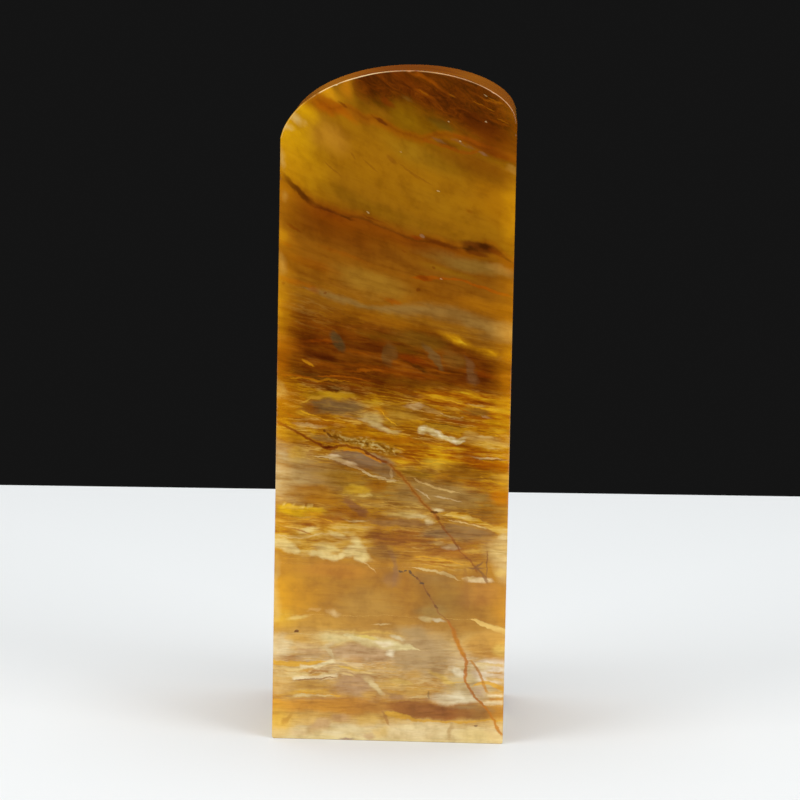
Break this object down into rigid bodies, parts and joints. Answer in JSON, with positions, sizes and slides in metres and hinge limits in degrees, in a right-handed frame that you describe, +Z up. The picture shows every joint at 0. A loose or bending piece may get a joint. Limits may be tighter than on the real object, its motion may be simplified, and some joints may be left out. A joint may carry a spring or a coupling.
{
  "type": "seal stamp",
  "caption": "Square seal stone with polished flat sides, a crown ground to an uneven arch, and a carved flat seal face at its foot.",
  "frame": {"origin": "middle of the seal face, where the stone stands", "axes": "+Z up the stone to its arched crown, +X across the front to the right, +Y from front to back"},
  "size_m": [0.025, 0.025, 0.0723],
  "materials": {
    "stone": "polished translucent amber soapstone with brown veins"
  },
  "bodies": {
    "root": {"seal_stone": "stone"}
  },
  "joints": []
}
